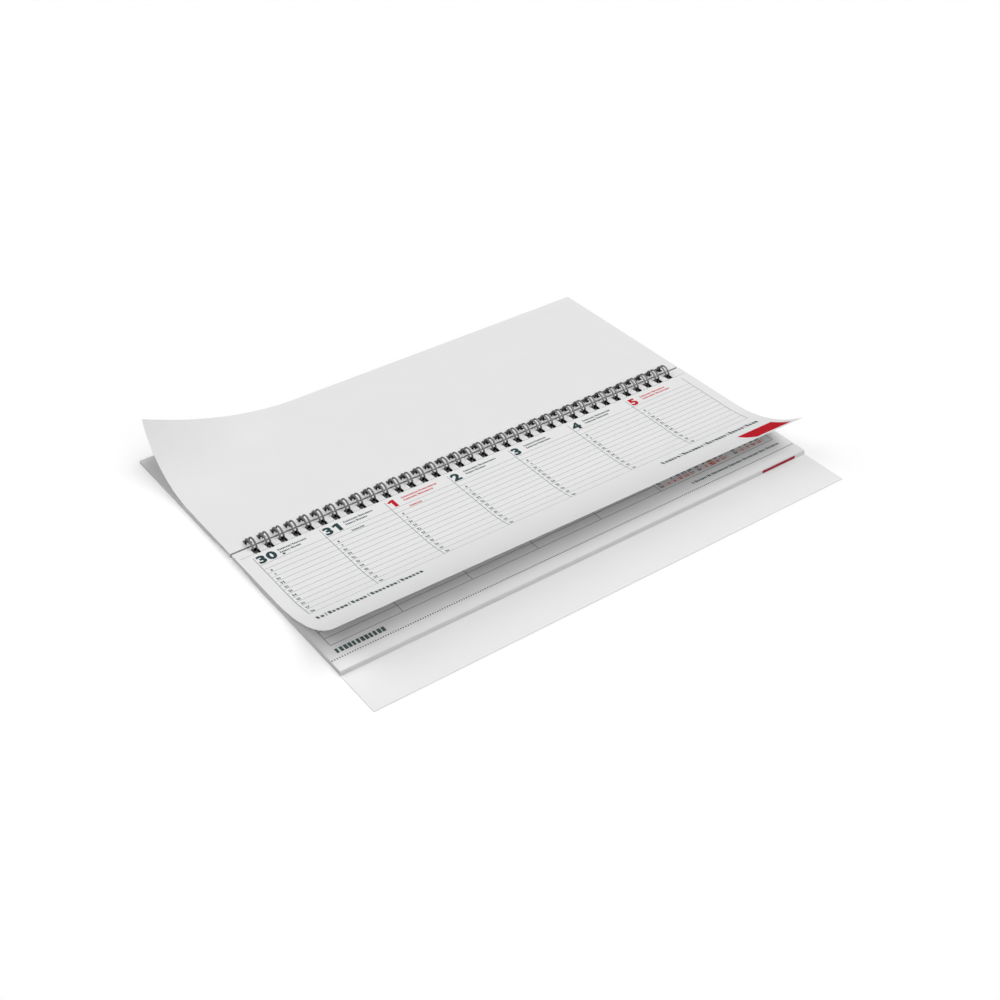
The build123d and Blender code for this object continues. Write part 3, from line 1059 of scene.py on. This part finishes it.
class CALENDAR_OT_week_print(bpy.types.Operator):
    """Prints the week's page: dividers, ruled lines, dates, hours, stand-in bars and the tab"""

    bl_idname = "calendar.week_print"
    bl_label = "Week print"

    def execute(self, context):
        settings = context.scene.calendar
        week = settings.week
        finish = settings.finish
        thickness = settings.leaves.sheet_thickness

        def lay(x, y, layer):
            return week_curl(settings.curls, x, y, thickness + layer * week.ink_rise)

        page = Page(context, "week", lay, week.tilt, DESK)
        columns = week_columns(week)
        rows = week_rows(week)
        pieces = [
            self.dividers(page, week, finish, columns, rows),
            self.ruled_lines(page, week, finish, columns, rows),
            *self.dates(page, week, finish, columns),
            self.hours(page, week, finish, columns, rows),
            *self.words(page, week, finish, columns, rows),
            self.perforation(page, week, finish, settings.leaves),
            self.tab(page, week, finish),
        ]
        for piece in pieces:
            press(piece)
        return {"FINISHED"}

    def dividers(self, page, week, finish, columns, rows):
        """Lines between the days, cut finely enough to follow the curl."""
        half = week.divider_width / 2
        lows = page.at(columns - half, rows[-1])
        highs = page.at(columns + half, week.head)
        return page.put("dividers", finish.divider_ink, [bars(lows, highs, steps_y=48)])

    def ruled_lines(self, page, week, finish, columns, rows):
        """Lines across each day's column."""
        start, row = np.meshgrid(columns[:-1], rows)
        end, _ = np.meshgrid(columns[1:], rows)
        half = week.line_width / 2
        parts = [bars(page.at(start, row + half), page.at(end, row - half), steps_x=5)]
        return page.put("ruled_lines", finish.line_ink, parts)

    def dates(self, page, week, finish, columns):
        """The day's number at the head of each column, red on rest days."""
        height = week.date_height
        inset = 0.15 * height
        style = {"weight": week.date_weight, "fineness": 6, "stretch": week.date_stretch}
        dark = []
        red = []
        for i, text in enumerate(DATES):
            place = page.at(columns[i] + inset, week.head + height)
            line = red if i in REST_DAYS else dark
            line += number_at(text, place, height, **style)
        return [page.put("dates", finish.ink, dark), page.put("rest_dates", finish.red, red)]

    def hours(self, page, week, finish, columns, rows):
        """The hours over the ruled lines, right-aligned beside each divider."""
        first_row = 2
        rise = 0.35 * week.hour_height
        parts = []
        for hour, row in enumerate(rows[first_row:], week.first_hour):
            for start in columns[:-1]:
                place = page.at(start + week.hour_right, row - rise)
                parts += number_at(str(hour), place, week.hour_height, week.hour_weight, align=1.0)
        return page.put("hours", finish.ink, parts)

    def words(self, page, week, finish, columns, rows):
        """Stand-ins for the days' names, notes and headings, by their counts of letters."""
        names = (((8, 9), (6, 6)), ((9, 9), (6, 7)), ((11, 12), (9, 10)), ((10, 12), (6, 7)),
                 ((7, 8), (8, 9)), ((9, 11), (8, 9)), ((9, 10), (10, 11)))
        noted_days = (1, 2)
        size = (week.letter_height, week.letter_pitch)
        mark = dots([page.at(columns[0] + week.mark_right, week.mark_down)], week.mark_radius, corners=16)
        lines = {False: [mark], True: []}
        for i, (start, (first, second)) in enumerate(zip(columns, names)):
            line = lines[i in REST_DAYS]
            left = start + (week.name_left if len(DATES[i]) == 1 else week.wide_name_left)
            line += word_bars(page.at(left, week.head + week.first_name), first, *size)
            line += word_bars(page.at(left, week.head + week.second_name), second, *size)
            if i in noted_days:
                line += word_bars(page.at(left, rows[0] + week.day_note), (8,), *size)
        heading = page.at(columns[0], week.foot_text)
        lines[False] += word_bars(heading, (2, 5, 4, 7, 6), week.heading_height, week.heading_pitch)
        month = page.at(columns[-1] - week.month_room, week.foot_text + week.month_drop)
        lines[False] += word_bars(month, (6, 7, 7, 5, 4), week.heading_height, week.month_pitch)
        return [
            page.put("word_bars", finish.pale_ink, lines[False]),
            page.put("rest_word_bars", finish.pale_red, lines[True]),
        ]

    def perforation(self, page, week, finish, leaves):
        """A row of dots between the holes."""
        places = np.arange(week.dot_start, RIGHT - LEFT - week.dot_end, week.dot_pitch)
        x = LEFT + places
        clear = np.abs(x[:, None] - hole_centres(leaves)).min(1) > leaves.hole_width / 2
        row = dots(page.at(places[clear], week.perforation), week.dot_radius)
        return page.put("perforation", finish.line_ink, [row])

    def tab(self, page, week, finish):
        """The month's red tab on the curl."""
        low = page.at(week.tab_left, week.tab_foot)
        high = page.at(week.tab_right, week.tab_head)
        return page.put("month_tab", finish.red, [bars(low, high, steps_x=6, steps_y=16)])


class CALENDAR_OT_notes_print(bpy.types.Operator):
    """Prints the notes page under the curl: frame, heading bars, tear line and month table"""

    bl_idname = "calendar.notes_print"
    bl_label = "Notes print"

    def execute(self, context):
        settings = context.scene.calendar
        notes = settings.notes
        finish = settings.finish
        outer_top = settings.leaves.week_outer_top

        def lay(x, y, layer):
            top = block_top(y, WEEK_INNER, WEEK_OUTER, BLOCK_HIGH.z, outer_top)
            return np.stack([x, y, top + layer * settings.week.ink_rise], -1)

        page = Page(context, "notes", lay, 0.0, DESK)
        self.frame_lines(page, notes, finish)
        self.words(page, notes, finish)
        self.tear_line(page, notes, finish)
        self.month_table(page, notes, finish)
        return {"FINISHED"}

    def tear_line(self, page, notes, finish):
        """A row of dashes near the front edge."""
        starts = np.arange(notes.tear_start, RIGHT - LEFT - notes.dash_pitch, notes.dash_pitch)
        ends = starts + notes.dash_share * notes.dash_pitch
        half = notes.dash_width / 2
        dashes = bars(page.at(starts, notes.tear_line + half), page.at(ends, notes.tear_line - half))
        page.put("tear_line", finish.ink, [dashes])

    def frame_lines(self, page, notes, finish):
        """Lines of the notes' columns and rows; the outermost rows run on round the month table."""
        half = notes.line_width / 2
        columns = notes.frame_left + notes.column_width * np.arange(notes.column_count + 1)
        upper = notes.frame_foot - notes.row_pitch * notes.row_count
        columns = np.append(columns, notes.table_right)
        rows = notes.frame_foot - notes.row_pitch * np.arange(notes.row_count + 1)
        upright = bars(page.at(columns - half, notes.frame_foot), page.at(columns + half, upper))
        ends = np.where(np.arange(len(rows)) % notes.row_count == 0, columns[-1], columns[-2])
        level = bars(page.at(columns[0] + 0 * rows, rows + half), page.at(ends, rows - half))
        return page.put("frame_lines", finish.divider_ink, [upright, level])

    def words(self, page, notes, finish):
        """Stand-ins for the heading and the small print, by their counts of letters."""
        place = page.at(notes.frame_left, notes.heading_foot)
        heading = word_bars(place, (12,), notes.heading_height, notes.heading_pitch, 1.0)
        place = page.at(notes.table_right - notes.footnote_room, notes.heading_foot - notes.footnote_rise)
        words = (1, 8, 2, 11, 9, 11, 4, 9)
        footnote = word_bars(place, words, notes.footnote_height, notes.footnote_pitch)
        return page.put("word_bars", finish.pale_ink, heading + footnote)

    def month_table(self, page, notes, finish):
        """Two weekdays of three months, a number for each week, with tinted fields behind them.

        A month is given as the first date in either row and how many weeks it
        shows. Date 0 leaves a bare place.
        """
        left = notes.frame_left + notes.column_width * notes.column_count
        week_length = 7
        months = ((0, 1, 5), (4, 5, 4), (1, 2, 4))
        starts = left + np.array([notes.first_month, notes.second_month, notes.third_month])
        pitch = notes.number_pitch
        rows = (notes.frame_foot - notes.work_row, notes.frame_foot - notes.rest_row)
        height = notes.number_height
        tint_left, tint_drop, tint_rise, tint_weeks = 1.4 * MM, 0.5 * MM, 1.0 * MM, 5
        label_left, label_pitch, label_height = 1.2 * MM, 1.2 * MM, 0.75 * height
        day_shift = 0.8 * MM
        field_foot, field_head, field_week = 1.4 * MM, 7.8 * MM, 1.75
        dark = []
        red = []
        labels = []
        tints = []
        for start, (*first_days, weeks) in zip(starts, months):
            foot = rows[1] + tint_drop
            low = page.at(start - tint_left, foot)
            tints.append(bars(low, page.at(start + tint_weeks * pitch, foot - height - tint_rise)))
            for row, first_day, line in zip(rows, first_days, (dark, red)):
                labels += word_bars(page.at(start - label_left, row), (2,), label_height, label_pitch)
                for week in range(weeks):
                    day = first_day + week * week_length
                    place = page.at(start + (week + 1) * pitch + day_shift, row)
                    line += number_at(str(day or ""), place, height, align=0.5)
        field_left = starts[1] + field_week * pitch
        low = page.at(field_left, notes.frame_foot - field_foot)
        field = bars(low, page.at(field_left + pitch, notes.frame_foot - field_head))
        page.put("table_tints", finish.pale_field, tints, layer=0.25)
        page.put("table_field", finish.field, [field], layer=0.5)
        page.put("table_labels", finish.pale_ink, labels)
        page.put("table_days", finish.ink, dark)
        page.put("table_rest_days", finish.red, red)


class CALENDAR_OT_edge_mark(bpy.types.Operator):
    """Prints the month's mark on the front leaf edges"""

    bl_idname = "calendar.edge_mark"
    bl_label = "Edge mark"

    def execute(self, context):
        settings = context.scene.calendar
        notes = settings.notes
        proud = (SCATTER_LIMIT + 1) * settings.leaves.leaf_scatter
        tall = settings.leaves.week_outer_top - BLOCK_LOW.z
        low = BLOCK_LOW.z + notes.edge_low * tall
        high = BLOCK_LOW.z + notes.edge_high * tall
        left, right = LEFT + notes.edge_left, LEFT + notes.edge_right
        flat, faces = bars((left, low), (right, high), steps_x=12, steps_y=4)
        points = np.stack([flat[:, 0], np.full(len(flat), WEEK_OUTER - proud), flat[:, 1]], -1)
        ink = material("ink_edge_mark", ink_finish, settings.finish.edge_red)
        make_piece(context, "edge_mark", points, [faces], DESK, [ink])
        return {"FINISHED"}


class CALENDAR_OT_stage(bpy.types.Operator):
    """Sets up the camera, the soft light and the white floor"""

    bl_idname = "calendar.stage"
    bl_label = "Stage"

    def execute(self, context):
        stage = context.scene.calendar.stage
        context.scene.view_settings.view_transform = "Standard"
        self.camera(context, stage)
        self.light(context, stage, "key", stage.key, stage.key_tilt, stage.key_turn)
        self.light(context, stage, "side", stage.side, stage.side_tilt, stage.side_turn)
        self.light(context, stage, "front", stage.front, stage.front_tilt, stage.front_turn)
        self.light(context, stage, "back", stage.back, stage.back_tilt, stage.back_turn)
        self.world(context)
        self.floor(context, stage)
        return {"FINISHED"}

    def camera(self, context, stage):
        """A camera that looks at its aim, then rolls about its view."""
        data = bpy.data.cameras.new("camera")
        data.sensor_width = PICTURE_WIDTH
        data.lens = stage.camera_lens
        data.clip_start = 10 * MM
        camera = bpy.data.objects.new("camera", data)
        place = Vector(stage.camera_place)
        view = (Vector(stage.camera_aim) - place).to_track_quat("-Z", "Y")
        camera.rotation_mode = "QUATERNION"
        camera.rotation_quaternion = view @ Quaternion((0, 0, 1), -stage.camera_roll)
        camera.location = place
        context.collection.objects.link(camera)
        context.scene.camera = camera

    def light(self, context, stage, name, share, tilt, turn):
        """A soft far light that gives the open floor its share."""
        data = bpy.data.lights.new(name, "SUN")
        data.energy = pi * share / cos(tilt)
        data.angle = stage.softness
        lamp = bpy.data.objects.new(name, data)
        lamp.rotation_euler = (tilt, 0, turn)
        lamp.location = (0, 0, 1)
        context.collection.objects.link(lamp)

    def seen(self, finish):
        """1 for rays of the camera, of mirrors and of clear things, and 0 for rays that carry light."""
        path = "ShaderNodeLightPath"
        camera = finish.node(path, output="Is Camera Ray")
        glossy = finish.node(path, output="Is Glossy Ray")
        clear = finish.node(path, output="Is Transmission Ray")
        return finish.node("ShaderNodeClamp", (), {"Value": camera + glossy + clear})

    def world(self, context):
        """White where it is seen, and no light of its own."""
        world = bpy.data.worlds.new("studio")
        context.scene.world = world
        finish = Finish(world)
        strength = self.seen(finish)
        glow = finish.node("ShaderNodeBackground", (), {"Color": WHITE, "Strength": strength})
        finish.end(glow, "ShaderNodeOutputWorld")

    def floor(self, context, stage):
        """A wide white floor whose shadow is partly filled where it is seen."""
        half = stage.floor_size / 2
        corners = [(-half, -half), (half, -half), (half, half), (-half, half)]
        mesh = bpy.data.meshes.new("floor")
        mesh.from_pydata([(x, y, -stage.floor_drop) for x, y in corners], [], [(0, 1, 2, 3)])
        finish = Finish(bpy.data.materials.new("floor"))
        seen = self.seen(finish)
        tint = finish.mix(seen, opaque(stage.floor_tint), WHITE)
        matte = finish.node("ShaderNodeBsdfDiffuse", (), {"Color": tint})
        glow = finish.node("ShaderNodeEmission")
        filled = {0: seen * stage.floor_glow, 1: matte, 2: glow}
        mesh.materials.append(finish.end(finish.node("ShaderNodeMixShader", (), filled)))
        floor = bpy.data.objects.new("floor", mesh)
        context.collection.objects.link(floor)


class CALENDAR_PT_panel(bpy.types.Panel):
    """Lists the calendar's pieces and settings"""

    bl_idname = "CALENDAR_PT_panel"
    bl_label = "Desk calendar"
    bl_space_type = "VIEW_3D"
    bl_region_type = "UI"
    bl_category = "Calendar"

    def draw(self, context):
        settings = context.scene.calendar
        for operator in OPERATORS:
            self.layout.operator(operator.bl_idname)
        for key in CalendarSettings.__annotations__:
            group = getattr(settings, key)
            box = self.layout.box()
            box.label(text=key.capitalize())
            for name in type(group).__annotations__:
                box.prop(group, name)


OPERATORS = (
    CALENDAR_OT_covers,
    CALENDAR_OT_blocks,
    CALENDAR_OT_sheets,
    CALENDAR_OT_wire,
    CALENDAR_OT_week_print,
    CALENDAR_OT_notes_print,
    CALENDAR_OT_edge_mark,
    CALENDAR_OT_stage,
)
GROUPS = (
    LeafSettings,
    CurlSettings,
    WireSettings,
    WeekPrintSettings,
    NotesPrintSettings,
    FinishSettings,
    StageSettings,
    CalendarSettings,
)
CLASSES = (*GROUPS, *OPERATORS, CALENDAR_PT_panel)


def register():
    for cls in CLASSES:
        bpy.utils.register_class(cls)
    bpy.types.Scene.calendar = PointerProperty(type=CalendarSettings)


def unregister():
    del bpy.types.Scene.calendar
    for cls in reversed(CLASSES):
        bpy.utils.unregister_class(cls)


def main():
    register()
    bpy.ops.calendar.covers()
    bpy.ops.calendar.blocks()
    bpy.ops.calendar.sheets()
    bpy.ops.calendar.wire()
    bpy.ops.calendar.week_print()
    bpy.ops.calendar.notes_print()
    bpy.ops.calendar.edge_mark()
    bpy.ops.calendar.stage()


if __name__ == "__main__":
    main()
